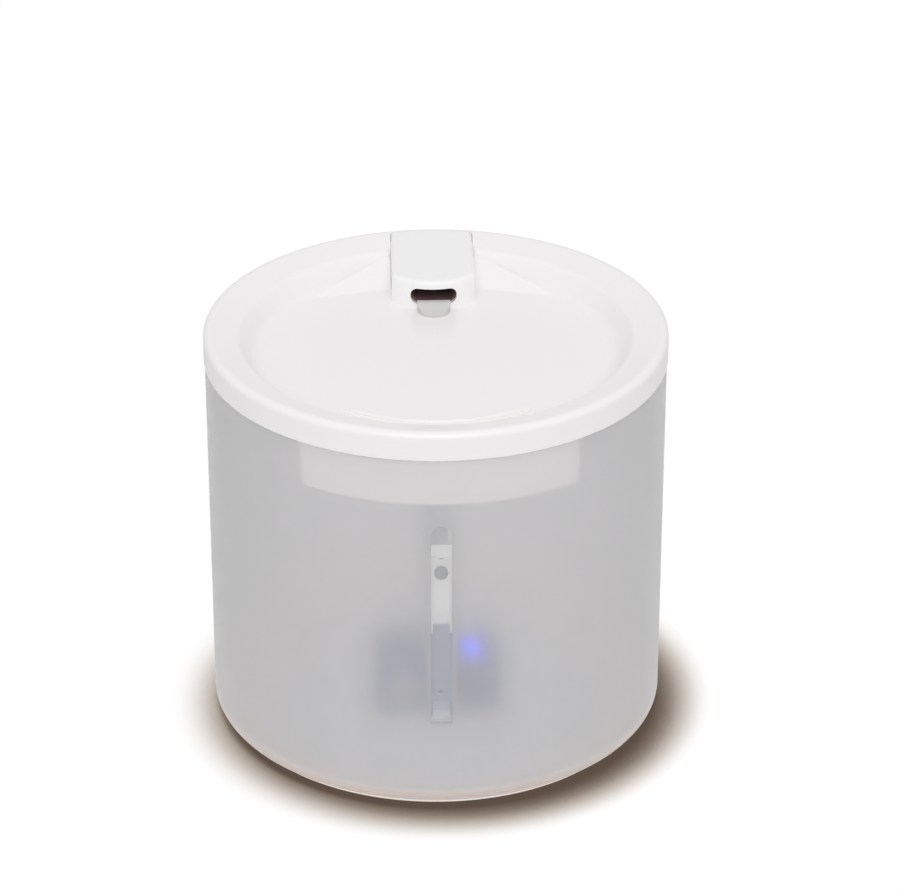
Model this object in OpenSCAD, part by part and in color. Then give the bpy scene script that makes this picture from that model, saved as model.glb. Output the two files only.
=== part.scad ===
// Pet water fountain: a frosted round tank under a white drinking tray with a spout.
// A pump on the tank's floor lifts water through a hose to the spout, and the tray's drain lets it fall back
// through a filter.
// Sizes are millimetres. The origin is the middle of the base, +Z is up and the front is -Y.

/* [Overall] */
// Diameter over the tray's skirt
tray_d = 180; // [150:1:220]
// Height from the surface it stands on to the tray's rim
total_h = 164; // [136:1:200]

/* [Tank] */
// Thickness of the tank's wall
tank_wall = 2.5; // [2:0.1:3.5]
// How far the tank's wall stands inside the tray's skirt
tank_inset = 0.4; // [0.3:0.1:1.5]
// How much narrower the tank is at its base, on the radius
tank_draft = 0.1; // [0:0.1:3]
// Thickness of the tank's floor
tank_floor = 2.6; // [2:0.1:4]
// Radius of the tank's outer bottom edge
tank_edge = 5; // [2:0.1:8]
// Thickness of the collar that carries the tray
collar_t = 2.4; // [1.8:0.1:3]
// Height of the taper that joins the wall to the collar
collar_taper = 4; // [2:0.5:8]

/* [Foot ring] */
// Height of the foot ring below the tank
foot_h = 2; // [1:0.1:4]
// Width of the foot ring
foot_w = 5; // [3:0.5:8]
// Depth that the foot ring sits in its groove
foot_seat = 1.2; // [0.6:0.1:1.6]
// How far the foot ring stands inside the tank's rounded edge
foot_inset = 0.4; // [0.2:0.1:4]

/* [Tray] */
// Height of the tray's skirt
skirt_h = 11; // [8:0.5:16]
// Thickness of the tray's skirt, wall and floor
tray_t = 2.4; // [1.8:0.1:3]
// Radius of the rim's outer edge
rim_edge = 2.4; // [1:0.1:3]
// Width of the rim from the skirt to the brow of the dish
rim_w = 14; // [10:0.5:20]
// How far the rim falls from its crest to the brow
rim_fall = 3; // [1:0.5:4]
// Run of the dish's steep wall, on the radius
dish_run = 5.5; // [3:0.5:12]
// Depth of the dish's floor below the rim
dish_depth = 12; // [9:0.5:16]
// Gap between the tray's skirt and the tank's collar
collar_gap = 0.4; // [0.2:0.1:0.8]
// Gap between the skirt's lower edge and the tank's shoulder
skirt_gap = 0.3; // [0.1:0.1:1]

/* [Weir and drain] */
// Half of the angle that the weir spans at the front
weir_half = 38.5; // [20:0.5:45]
// Width of the weir at its middle
weir_w = 6; // [3:0.5:10]
// Height of the weir over the dish's floor
weir_h = 1.3; // [0.6:0.1:3]
// Distance from the weir's outer edge to the foot of the dish's wall
drain_w = 11.5; // [8:0.5:16]
// Length of a drain slot, on the radius
drain_slot = 6; // [3:0.5:8]
// Number of drain slots
drain_count = 11; // [5:1:15]
// Half of the angle that one drain slot spans
drain_half = 1.4; // [0.8:0.1:1.8]

/* [Spout] */
// Width of the spout block
spout_w = 33; // [28:1:44]
// Distance from the back of the tray to the spout's nose
spout_reach = 51.5; // [44:0.5:60]
// Radius of the spout's nose in plan
nose_r = 21; // [18:0.5:26]
// Thickness of the spout cover's side walls
cover_wall = 2.2; // [1.6:0.1:3]
// Thickness of the spout cover's top plate
cover_t = 2; // [1.4:0.1:2.4]
// Radius of the spout cover's top edge
cover_edge = 1.8; // [0.5:0.1:2]
// Width of the spout's slot
slot_w = 18.3; // [12:0.1:20]
// Height of the spout's slot
slot_h = 6.8; // [5:0.1:7.2]
// Height of the slot's sill over the dish's floor
slot_sill = 2; // [1:0.1:2.4]
// Width of the soft lip under the slot
lip_w = 13; // [8:0.5:16]
// How far the lip reaches out of the spout's nose
lip_reach = 7.5; // [4:0.5:12]

/* [Filter basket] */
// Half of the angle that the basket spans
basket_half = 38; // [30:1:45]
// Width of the basket, on the radius
basket_w = 42; // [36:1:50]
// Depth of the basket below the tray's floor
basket_h = 18; // [14:0.5:24]
// Thickness of the basket's walls
basket_wall = 1.8; // [1.2:0.1:2.5]
// Gap between the basket and the tank's collar
basket_gap = 1.2; // [0.6:0.1:3]
// Diameter of the pegs that hold the basket
peg_d = 5; // [4:0.5:7]
// Length of the pegs
peg_l = 10; // [6:0.5:12]
// Thickness of the carbon pack
carbon_t = 5.5; // [3:0.5:7]
// Thickness of the cotton pad
pad_t = 4.5; // [2:0.5:6]

/* [Pump] */
// Width of the pump
pump_w = 51; // [46:1:60]
// Height of the pump's casing
pump_h = 20.2; // [18.2:0.1:25]
// Distance of the pump's front face from the middle of the tank
pump_front = 28.5; // [24:0.5:40]
// Depth of the clip-on strainer
strainer_d = 10; // [8:0.5:14]
// Depth of the pump's casing behind the strainer
casing_d = 19.5; // [18:0.5:26]
// Thickness of the pump's mouldings
pump_wall = 1.8; // [1.4:0.1:2.2]
// Radius of the pump's corners
pump_corner = 4; // [2:0.5:5]
// Gap between the impeller and its chamber
impeller_gap = 0.6; // [0.4:0.1:1]
// Number of impeller blades
blade_count = 6; // [4:1:8]
// Radius of the rotor's magnet
magnet_r = 4; // [3:0.1:4.1]
// Diameter of the ceramic shaft
shaft_d = 2; // [1.5:0.1:2.5]
// Height of the suction cups under the pump
cup_h = 2.2; // [1.6:0.1:5]
// Diameter of a suction cup
cup_d = 12; // [9:0.5:13]
// Diameter of the flow dial
dial_d = 12; // [9:0.5:13]

/* [Hose and lead] */
// Outer diameter of the hose
hose_d = 11; // [10:0.5:13]
// Wall of the hose
hose_wall = 1.7; // [1.2:0.1:2.2]
// Radius of the hose's two bends
hose_bend = 30; // [24:1:32]
// Straight length of hose over the pump's outlet
hose_rise = 11; // [8:0.5:14]
// Straight length of hose below the spout's socket
hose_top_run = 19; // [14:1:22]
// Diameter of the pump's lead
lead_d = 3.5; // [3:0.1:5]
// Radius of the lead's bend at the wall
lead_bend = 9; // [7:0.5:14]

/* [Level window] */
// Width of the window
window_w = 8; // [6:0.5:10]
// Height of the window's lower end over the surface
window_z0 = 39; // [20:1:50]
// Distance of the window's top below the tray's skirt
window_drop = 28; // [24:1:40]
// Distance of the guide's top below the filter basket
guide_drop = 20; // [12:0.5:40]
// Diameter of the float
float_d = 5.4; // [4:0.1:6]
// Distance of the float's middle below the guide's top, at a nearly full tank
float_drop = 9.5; // [6:0.5:20]

/* [Power inlet] */
// Distance of the inlet's middle below the tray's skirt
inlet_drop = 15; // [13:0.5:24]
// Diameter of the inlet's body
inlet_d = 12; // [10:0.5:13]
// Diameter of the inlet's mouth
jack_d = 5.5; // [5.5:0.1:5.5]
// Diameter of the inlet's centre pin
jack_pin_d = 2.1; // [2.1:0.1:2.1]

/* [Clearances] */
// Gap between pieces that come apart
gap = 0.3; // [0.2:0.05:0.5]
// Gap between the spout cover and the tray beside it
cover_gap = 0.15; // [0.1:0.05:0.4]
// Radial play of a turning or sliding fit
play = 0.05; // [0.02:0.01:0.1]

/* [Hidden] */
$fn = 96;
far = 400;          // longer than anything here
over = 1;           // how far a cut runs past what it cuts
bend_rings = 7;     // rings in a bend of the hose or the lead
hose_sides = 24;    // sides of the hose
lead_sides = 12;    // sides of the lead

// Tray and tank heights and radii
tray_r = tray_d / 2;
skirt_z = total_h - skirt_h;
dish_z = total_h - dish_depth;
tray_under = dish_z - tray_t;
brow_r = tray_r - rim_w;
brow_z = total_h - rim_fall;
dish_r = brow_r - dish_run;
skirt_in = tray_r - tray_t;
seat_z = total_h - 1.4 * tray_t;
crest_flat = 0.6;
crest_r = tray_r - rim_edge - crest_flat;
brow_round = 3;
dish_round = 6;
shoulder_z = skirt_z - skirt_gap;
tank_top_r = tray_r - tank_inset;
tank_base_r = tank_top_r - tank_draft;
collar_r = skirt_in - collar_gap;
collar_in = collar_r - collar_t;
tank_under = foot_h;
floor_z = foot_h + tank_floor;
collar_root = 1;
taper_z = shoulder_z - collar_root - collar_taper;
foot_out = tank_base_r - tank_edge - foot_inset;
function tank_r(z) = tank_base_r + tank_draft * (z - tank_under) / (shoulder_z - tank_under);

// Weir and drain
weir_r = dish_r - drain_w;
drain_r = weir_r + (drain_w - drain_slot) / 2;
gallery_t = 0.8;
weir_root = 0.5;
weir_edge = 0.9;
weir_z = dish_z + weir_h;
weir_cut = weir_h + weir_root + 0.1;
weir_y = weir_r * cos(weir_half);
weir_in = weir_r - weir_w;
drain_pitch = 2 * (weir_half - 5) / (drain_count - 1);
// The inner edge is an arc through the weir's tips and its middle, centred this far behind the tray's middle
weir_back = (weir_r * weir_r - weir_in * weir_in) / (2 * (weir_in - weir_y));

// Spout
nose_y = tray_r - spout_reach;
nose_cy = nose_y + nose_r;
plate_z = total_h - cover_t;
riser_back = 16.5;
riser_y = nose_y + riser_back;
hose_r = hose_d / 2;
hose_in = hose_r - hose_wall;
spigot_wall = 2;
spigot_r = hose_r + gap + spigot_wall;
spigot_h = 12.5;
hose_stop = 2.2;
seal_z = tray_under - spigot_h / 2 - 2;
sill_z = dish_z + slot_sill;
slot_z = sill_z + slot_h / 2;
slot_round = slot_h / 2 - 0.4;
nozzle_end = riser_y + spigot_r + 1.2;
ramp_back = 3;
ramp_share = 0.76;
lip_t = 0.8;
lip_lap = 2;

// Filter basket
basket_r = collar_in - basket_gap;
basket_in = basket_r - basket_w;
basket_z = tray_under - basket_h;
basket_rise = 6;
basket_slot_half = 1.5;
basket_slots = 5;
peg_r = basket_in + basket_wall + peg_d / 2 + 1.5;
peg_half = basket_half - 10;
cassette_in = peg_r + peg_d / 2 + basket_wall + gap + 1;
cassette_r = basket_r - basket_wall - gap;
cassette_half = basket_half - 3.5;
cassette_wall = 1.5;
cassette_z = basket_z + basket_wall;
cassette_h = carbon_t + pad_t + cassette_wall + 0.6;
filling_in = cassette_in + cassette_wall;
filling_r = cassette_r - cassette_wall;
filling_half = cassette_half - 2;
slot_margin = 5;
cassette_slots = 4;
cassette_slot_half = 2.4;

// Pump
base_t = 1.5;
stud_d = cup_d / 3;
base_z = floor_z + cup_h;
casing_z = base_z + base_t;
pump_top = casing_z + pump_h;
axis_z = casing_z + pump_h / 2;
casing_y = strainer_d - pump_front;
back_y = casing_y + casing_d;
volute_t = 2;
volute_lap = 0.9;
volute_r = pump_h / 2 - 1.2;
chamber_r = volute_r - volute_lap;
impeller_r = chamber_r - impeller_gap;
chamber_d = 7;
chamber_y = casing_y + volute_t;
well_y = chamber_y + chamber_d;
well_r = magnet_r + 0.4;
well_wall = 1;
shaft_r = shaft_d / 2;
shaft_y0 = casing_y + 0.8;
shaft_y1 = back_y - pump_wall - 1;
bush_r = shaft_r + 0.8;
bush_l = 1.2;
hub_r = 2.4;
blade_t = 1;
rotor_y = well_y - 0.5;
outlet_y = chamber_y + chamber_d / 2;
outlet_r = hose_in - 2 * play;
outlet_bore = outlet_r - 1.2;
core_y = well_y + 2;
core_d = 4;
core_t = 2.2;
leg_z = well_r + well_wall + 0.2;
core_w = 4;
coil_x = 17;
coil_w = 9.6;
coil_h = 2 * (well_r + well_wall) - 0.4;
led_x = 13.5;
led_y = casing_y + 3.8;
led_d = 5;
board_w = 11;
board_d = 5;
board_t = 1;
dial_x = -pump_w / 4 - 1;
dial_pin_r = 2;
dial_t = 1.6;
grip_w = 1.8;
grip_t = 2;
clip_r = 3.2;
clip_t = 0.8;
grille_bars = 9;
grille_gap = 1.6;
housing_lip = 2;
eye_r = 4.2;
sponge_t = strainer_d - pump_wall - 1.6;

// Hose: two equal bends and a straight between them join the pump's outlet to the spout's socket
hose_z0 = pump_top + gap;
hose_top = tray_under - hose_stop - gap;
hose_dy = riser_y - outlet_y;
hose_dz = hose_top - hose_top_run - hose_z0 - hose_rise;
hose_span = norm([hose_dy - 2 * hose_bend, hose_dz]);
hose_tilt = atan2(hose_dy - 2 * hose_bend, hose_dz) + asin(2 * hose_bend / hose_span);
hose_mid = sqrt(hose_span * hose_span - 4 * hose_bend * hose_bend);

// Power inlet and the pump's lead
inlet_z = skirt_z - inlet_drop;
inlet_r = inlet_d / 2;
pocket_y = tank_r(inlet_z) - 3.9;
boss_y = pocket_y - 3.6;
boss_r = inlet_r + 6;
pocket_r = boss_r - 1.8;
flange_r = boss_r - 3;
nut_r = inlet_r + 4;
jack_depth = 7;
seal_t = 0.6;
flange_t = 2;
nut_t = 3;
tail_l = 7;
tail_y = boss_y - nut_t - tail_l;
lead_r = lead_d / 2;
lead_y = tail_y + tail_l / 2;
lead_z0 = casing_z + lead_r + 2;
lead_z1 = floor_z + lead_r + 2 * gap;
lead_small = 7;
lead_turn = acos(1 - (lead_z0 - lead_z1) / (2 * lead_small));
lead_start = 5;
lead_mid = 0.5;
lead_drop = lead_mid * cos(lead_turn);
lead_flat = lead_y - back_y - lead_start - 2 * lead_small * sin(lead_turn) - lead_drop - lead_bend;
lead_up = inlet_z - inlet_r + 1 - lead_z1 - lead_bend;
clip_heights = [0.3, 0.72];
clip_h = 5;
clip_wall = 1.6;
clip_foot = 3;
grommet_r = lead_r + 1.5;

// Level window
window_z1 = skirt_z - window_drop;
window_lap = 2;
window_back = 0.8;
guide_y = tank_r(window_z0) - tank_wall - window_back - gap;
guide_in = float_d / 2 + 0.5;
guide_wall = 1.3;
guide_z = window_z0 + 2.3;
guide_top = basket_z - guide_drop;
guide_h = guide_top - guide_z;
float_z = guide_top - float_drop;
stop_t = 2.2;
float_y = guide_y - guide_in;
guide_hole_r = 1.2;
guide_hole_z = 4;

// Points along an arc of radius r that rounds the corner b between a and c
function unit(v) = v / norm(v);
function turn(a) = (a + 540) % 360 - 180;
function round_corner(a, b, c, r, n = 6) =
    let (
        u = unit(a - b),
        w = unit(c - b),
        half = acos(u * w) / 2,
        centre = b + unit(u + w) * r / sin(half),
        p = b + u * r / tan(half) - centre,
        q = b + w * r / tan(half) - centre,
        start = atan2(p.y, p.x),
        sweep = turn(atan2(q.y, q.x) - start)
    )
    [for (i = [0:n]) centre + r * [cos(start + sweep * i / n), sin(start + sweep * i / n)]];

// A rectangle with round corners, centred
module rounded(w, h, r) {
    square([w - 2 * r, h], center = true);
    square([w, h - 2 * r], center = true);
    for (x = [-1, 1], y = [-1, 1])
        translate([x * (w / 2 - r), y * (h / 2 - r)]) circle(r);
}

// A slab of the ring between two radii, spanning an angle each side of the front
module sector(r_in, r_out, half, h)
    rotate([0, 0, -90 - half])
        rotate_extrude(angle = 2 * half)
            translate([r_in, 0]) square([r_out - r_in, h]);

// A cylinder that starts at y and runs towards +Y
module rod(r, y0, y1)
    translate([0, y0, 0]) rotate([-90, 0, 0]) cylinder(r = r, h = y1 - y0);

// A prism from a shape drawn in X and Z, running from y0 to y1
module slab(y0, y1)
    translate([0, y1, 0]) rotate([90, 0, 0]) linear_extrude(y1 - y0) children();

// Places along a path in the plane x = 0, each as [y, z, heading], where heading 0 is +Z and 90 is +Y.
// A step is [straight length, bend radius, bend angle].
function walk(steps, y, z, a, i = 0) =
    i == len(steps) ? [] :
    let (
        y1 = y + steps[i][0] * sin(a),
        z1 = z + steps[i][0] * cos(a),
        b = steps[i][1] * sign(steps[i][2]),
        bend = [
            for (k = [1:bend_rings], g = [a + steps[i][2] * k / bend_rings])
                if (b != 0) [y1 + b * (cos(a) - cos(g)), z1 + b * (sin(g) - sin(a)), g]
        ],
        end = b == 0 ? [y1, z1, a] : bend[bend_rings - 1]
    )
    concat(i == 0 ? [[y, z, a]] : [], [[y1, z1, a]], bend, walk(steps, end.x, end.y, end.z, i + 1));

function rings(places, r, sides) = [
    for (p = places, k = [0:sides - 1])
        let (f = 360 * k / sides)
            [r * cos(f), p.x + r * sin(f) * cos(p.z), p.y - r * sin(f) * sin(p.z)]
];

// The skin between rings, as triangles, counted from the first point given
function skin(count, sides, first, inward) = [
    for (i = [0:count - 2], k = [0:sides - 1])
        let (
            a = first + i * sides + k,
            b = first + i * sides + (k + 1) % sides,
            c = b + sides,
            d = a + sides
        )
            each inward ? [[a, b, c], [a, c, d]] : [[a, d, c], [a, c, b]]
];

// A round tube along places; without a bore its ends are closed
module tube_along(places, r, bore, sides) {
    n = len(places);
    last = (n - 1) * sides;
    hollow = bore > 0;
    inner = n * sides;
    ends = hollow
        ? [
            for (k = [0:sides - 1]) let (j = (k + 1) % sides) each [
                [k, j, inner + j, inner + k],
                [last + j, last + k, inner + last + k, inner + last + j]
            ]
        ]
        : [[for (k = [0:sides - 1]) k], [for (k = [sides - 1:-1:0]) last + k]];
    polyhedron(
        points = concat(rings(places, r, sides), hollow ? rings(places, bore, sides) : []),
        faces = concat(skin(n, sides, 0, false), hollow ? skin(n, sides, inner, true) : [], ends)
    );
}

module disc(r, bore)
    if (bore > 0) difference() {
        circle(r);
        circle(bore);
    }
    else circle(r);

module ring(r, bore, h)
    linear_extrude(h) disc(r, bore);

// ---- Tank and what is fixed to it ----

module tank_profile()
    polygon(concat(
        [[0, tank_under]],
        round_corner([0, tank_under], [tank_base_r, tank_under], [tank_top_r, shoulder_z], tank_edge),
        [
            [tank_top_r, shoulder_z],
            [collar_r, shoulder_z],
            [collar_r, seat_z],
            [collar_in, seat_z],
            [collar_in, shoulder_z - collar_root],
            [tank_r(taper_z) - tank_wall, taper_z]
        ],
        round_corner(
            [tank_r(taper_z) - tank_wall, taper_z],
            [tank_r(floor_z) - tank_wall, floor_z],
            [0, floor_z],
            tank_edge
        ),
        [[0, floor_z]]
    ));

// The window's outline, drawn in X and Z, grown by a margin
module window_outline(grow = 0) {
    half = window_w / 2 + grow;
    translate([-half, window_z0 - grow]) square([2 * half, window_z1 - window_w / 2 - window_z0 + grow]);
    translate([0, window_z1 - window_w / 2]) circle(half);
}

// A skin that follows the tank's wall, between two depths behind its outer face
module wall_skin(front, back)
    rotate_extrude()
        polygon([
            [tank_r(0) - back, 0],
            [tank_r(0) - front, 0],
            [tank_top_r - front, shoulder_z],
            [tank_top_r - back, shoulder_z]
        ]);

module tank()
    color([0.86, 0.88, 0.9, 0.6])
    difference() {
        union() {
            rotate_extrude() tank_profile();
            translate([0, 0, inlet_z]) rod(boss_r, boss_y, pocket_y + 2);
        }
        slab(-far, -tank_r(window_z0) / 2) window_outline();
        translate([0, 0, inlet_z]) {
            rod(inlet_r + gap, boss_y - over, far);
            rod(pocket_r, pocket_y, far);
        }
        translate([0, 0, tank_under - over])
            ring(foot_out + play, foot_out - foot_w - play, over + foot_seat);
    }

module foot_ring()
    color([0.82, 0.74, 0.66])
    ring(foot_out, foot_out - foot_w, foot_h + foot_seat);

module level_window()
    color([0.9, 0.94, 0.96, 0.5])
    union() {
        intersection() {
            wall_skin(0, tank_wall + window_back / 2);
            slab(-far, -tank_r(window_z0) / 2) window_outline(-play);
        }
        intersection() {
            wall_skin(tank_wall + play, tank_wall + window_back);
            slab(-far, -tank_r(window_z0) / 2) window_outline(window_lap);
        }
    }

// The guide is a channel, open towards the window, closed at its top, with water holes in its back
module float_guide()
    color([0.92, 0.95, 0.97, 0.5])
    difference() {
        translate([-guide_in - guide_wall, -guide_y, guide_z])
            cube([2 * (guide_in + guide_wall), 2 * guide_in + guide_wall, guide_h]);
        translate([-guide_in, -guide_y - over, guide_z - over])
            cube([2 * guide_in, 2 * guide_in + over, guide_h - guide_wall + over]);
        for (z = [stop_t + guide_hole_z, guide_h - guide_wall - guide_hole_z])
            translate([0, 0, guide_z + z]) rod(guide_hole_r, -float_y, 0);
    }

module guide_stop()
    color("white")
    translate([-guide_in + play, -guide_y, guide_z])
        cube([2 * (guide_in - play), 2 * guide_in - play, stop_t]);

module level_float()
    color([0.25, 0.26, 0.3])
    translate([0, -float_y, float_z])
        rotate_extrude()
            intersection() {
                circle(float_d / 2);
                translate([0, -float_d / 2]) square(float_d);
            }

module inlet_socket()
    color([0.12, 0.12, 0.13])
    translate([0, 0, inlet_z])
        difference() {
            union() {
                rod(inlet_r, tail_y, pocket_y + seal_t + flange_t / 2);
                rod(flange_r, pocket_y + seal_t, pocket_y + seal_t + flange_t);
            }
            rod(jack_d / 2, pocket_y - jack_depth, far);
            translate([0, lead_y, -inlet_r - over]) cylinder(r = lead_r + play, h = over + 1);
        }

module inlet_pin()
    color([0.85, 0.7, 0.4])
    translate([0, 0, inlet_z]) rod(jack_pin_d / 2, pocket_y - jack_depth, pocket_y + 1);

module inlet_seal()
    color([0.2, 0.2, 0.2])
    translate([0, pocket_y, inlet_z]) rotate([-90, 0, 0]) ring(flange_r, inlet_r + gap, seal_t);

module inlet_nut()
    color([0.2, 0.2, 0.22])
    translate([0, boss_y - nut_t, inlet_z]) rotate([-90, 0, 0])
        difference() {
            cylinder(r = nut_r, h = nut_t, $fn = 6);
            translate([0, 0, -over]) cylinder(r = inlet_r + play, h = nut_t + 2 * over);
        }

// ---- Pump ----

module pump_block(inset = 0)
    translate([0, casing_z + pump_h / 2])
        rounded(pump_w - 2 * inset, pump_h - 2 * inset, pump_corner - inset / 2);

module cup_places()
    for (x = [-1, 1], y = [-1, 1])
        translate([
            x * (pump_w / 2 - cup_d / 2 - 1),
            (back_y - pump_front) / 2 + y * ((back_y + pump_front) / 2 - cup_d / 2 - 1),
            0
        ]) children();

module pump_base()
    color([0.5, 0.54, 0.61])
    difference() {
        translate([0, (back_y - pump_front) / 2, base_z])
            linear_extrude(base_t) rounded(pump_w, back_y + pump_front, pump_corner);
        cup_places() translate([0, 0, base_z - over]) cylinder(d = stud_d + 2 * play, h = base_t + 2 * over);
    }

// Each cup is a shallow rubber cone with a stud that fills its hole in the base
module suction_cups()
    color([0.75, 0.77, 0.8])
    cup_places() {
        translate([0, 0, floor_z])
            difference() {
                cylinder(d1 = cup_d, d2 = cup_d / 2, h = cup_h);
                translate([0, 0, -over / 2])
                    cylinder(d1 = cup_d - 2, d2 = cup_d / 4, h = (cup_h + over) / 2);
            }
        translate([0, 0, base_z - cup_h / 4]) cylinder(d = stud_d, h = base_t + cup_h / 4);
    }

// The wet side is the impeller's chamber and the rotor's well. The dry side round them holds the motor.
module pump_housing()
    color([0.5, 0.54, 0.61])
    difference() {
        union() {
            difference() {
                slab(casing_y, back_y - pump_wall) pump_block();
                slab(chamber_y + pump_wall, back_y) pump_block(pump_wall);
            }
            translate([0, 0, axis_z]) {
                rod(chamber_r + pump_wall / 2, chamber_y, well_y + 1);
                rod(well_r + well_wall, chamber_y, back_y - pump_wall);
            }
            translate([0, outlet_y, axis_z]) cylinder(r = outlet_r, h = pump_top - axis_z + hose_rise - 2);
            slab(casing_y - housing_lip, casing_y + 0.5)
                difference() {
                    pump_block(pump_wall + gap);
                    pump_block(2 * pump_wall + gap);
                }
        }
        translate([0, 0, axis_z]) {
            rod(volute_r + play, casing_y - housing_lip - over, chamber_y);
            rod(chamber_r, chamber_y - over, well_y);
            rod(well_r, chamber_y, shaft_y1);
        }
        translate([0, outlet_y, axis_z]) cylinder(r = outlet_bore, h = far);
        translate([led_x, led_y, pump_top - pump_wall - over]) cylinder(d = led_d + 2 * play, h = far);
    }

module pump_back_plate()
    color([0.5, 0.54, 0.61])
    difference() {
        slab(back_y - pump_wall, back_y) pump_block();
        translate([0, 0, lead_z0]) rod(grommet_r + play, back_y - far, back_y + over);
    }

// A laminated steel C whose legs pass above and below the rotor's well
module stator_core()
    color([0.55, 0.56, 0.58])
    slab(core_y, core_y + core_d)
        translate([0, axis_z])
            difference() {
                translate([-well_r, -leg_z - core_t])
                    square([coil_x + core_w / 2 + well_r, 2 * (leg_z + core_t)]);
                translate([-well_r - over, -leg_z]) square([coil_x - core_w / 2 + well_r + over, 2 * leg_z]);
            }

module motor_coil()
    color([0.72, 0.4, 0.2])
    translate([coil_x, core_y + core_d / 2, axis_z])
        difference() {
            translate([0, 0, -coil_h / 2]) linear_extrude(coil_h) rounded(coil_w, core_d + 4, 2);
            translate([0, 0, -coil_h / 2 - over]) linear_extrude(coil_h + 2 * over)
                square([core_w + 2 * play, core_d + 2 * play], center = true);
        }

module led_board()
    color([0.1, 0.4, 0.25])
    translate([led_x - 4, chamber_y + pump_wall + 0.3, pump_top - pump_wall - 2.4])
        cube([board_w, board_d, board_t]);

module led_lens()
    color([0.5, 0.55, 1, 0.8])
    translate([led_x, led_y, pump_top - pump_wall]) {
        cylinder(d = led_d, h = pump_wall);
        translate([0, 0, pump_wall])
            intersection() {
                translate([0, 0, -0.8]) sphere(d = led_d);
                translate([0, 0, -0.3]) cylinder(d = led_d, h = led_d);
            }
    }

module volute_cover()
    color([0.48, 0.52, 0.59])
    translate([0, 0, axis_z]) {
        difference() {
            rod(volute_r, casing_y, chamber_y);
            rod(eye_r, casing_y - over, chamber_y + over);
        }
        for (a = [90:120:330])
            rotate([0, a, 0]) translate([-0.6, casing_y, 2.2]) cube([1.2, volute_t, 2.6]);
        difference() {
            rod(2.6, casing_y, chamber_y);
            rod(bush_r, shaft_y0, chamber_y + over);
        }
    }

module shaft_bushes()
    color([0.15, 0.15, 0.16])
    for (y = [shaft_y0, shaft_y1 - bush_l])
        translate([0, y, axis_z]) rotate([-90, 0, 0]) ring(bush_r, shaft_r, bush_l);

module impeller_shaft()
    color([0.95, 0.95, 0.93])
    translate([0, 0, axis_z]) rod(shaft_r, shaft_y0, shaft_y1);

module impeller()
    color([0.9, 0.9, 0.88])
    translate([0, 0, axis_z])
        difference() {
            union() {
                rod(hub_r, chamber_y + 0.6, rotor_y);
                rod(impeller_r, rotor_y - 1.2, rotor_y);
                for (i = [0:blade_count - 1])
                    rotate([0, 360 / blade_count * i, 0])
                        translate([-blade_t / 2, chamber_y + 0.8, 0])
                            cube([blade_t, chamber_d - 2, impeller_r]);
            }
            rod(shaft_r + play, casing_y, back_y);
        }

module rotor_magnet()
    color([0.2, 0.2, 0.22])
    translate([0, rotor_y, axis_z]) rotate([-90, 0, 0])
        ring(magnet_r, shaft_r + play, shaft_y1 - bush_l - well_y);

// A cap that slips over the casing's front lip, with an inlet grille
module strainer()
    color([0.54, 0.58, 0.65])
    difference() {
        slab(-pump_front, casing_y) pump_block();
        slab(-pump_front + pump_wall, casing_y + over) pump_block(pump_wall);
        for (i = [0:grille_bars - 1])
            translate([pump_w / 2 - 7 - 2 * grille_gap * i, -pump_front - over, casing_z + 4])
                cube([grille_gap, pump_wall + 2 * over, pump_h - 8]);
        translate([dial_x, 0, axis_z]) rod(dial_pin_r + play, -pump_front - over, casing_y);
    }

module prefilter_sponge()
    color([0.22, 0.24, 0.28])
    difference() {
        slab(-pump_front + pump_wall + gap, -pump_front + pump_wall + gap + sponge_t - 2)
            pump_block(pump_wall + gap);
        translate([dial_x, 0, axis_z]) rod(clip_r + 1, -pump_front, casing_y);
    }

// A knob with a grip bar on a pin that turns in the strainer's face
module flow_dial()
    color([0.85, 0.86, 0.88])
    translate([dial_x, 0, axis_z]) {
        rod(dial_d / 2, -pump_front - dial_t - 0.2, -pump_front - 0.2);
        rod(dial_pin_r, -pump_front - dial_t / 2, -pump_front + pump_wall + clip_t + 0.4);
        translate([-grip_w / 2, -pump_front - dial_t - grip_t, -dial_d / 2 + 1])
            cube([grip_w, grip_t, dial_d - 2]);
    }

module dial_clip()
    color([0.8, 0.8, 0.82])
    translate([dial_x, -pump_front + pump_wall + 0.2, axis_z]) rotate([-90, 0, 0])
        ring(clip_r, dial_pin_r, clip_t);

// ---- Hose and lead ----

module riser_tube()
    color([0.93, 0.94, 0.95, 0.7])
    tube_along(walk([
        [hose_rise, hose_bend, hose_tilt],
        [hose_mid, hose_bend, -hose_tilt],
        [hose_top_run, 0, 0]
    ], outlet_y, hose_z0, 0), hose_r, hose_in, hose_sides);

module pump_lead()
    color([0.9, 0.9, 0.9])
    tube_along(walk([
        [lead_start, lead_small, lead_turn],
        [lead_mid, lead_small, -lead_turn],
        [lead_flat, lead_bend, -90],
        [lead_up, 0, 0]
    ], back_y, lead_z0, 90), lead_r, 0, lead_sides);

module lead_grommet()
    color([0.15, 0.15, 0.16])
    translate([0, back_y - pump_wall, lead_z0]) rotate([-90, 0, 0]) {
        difference() {
            cylinder(r = grommet_r, h = pump_wall + 0.6);
            translate([0, 0, pump_wall]) cylinder(r = lead_r + play, h = over);
        }
    }

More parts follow.
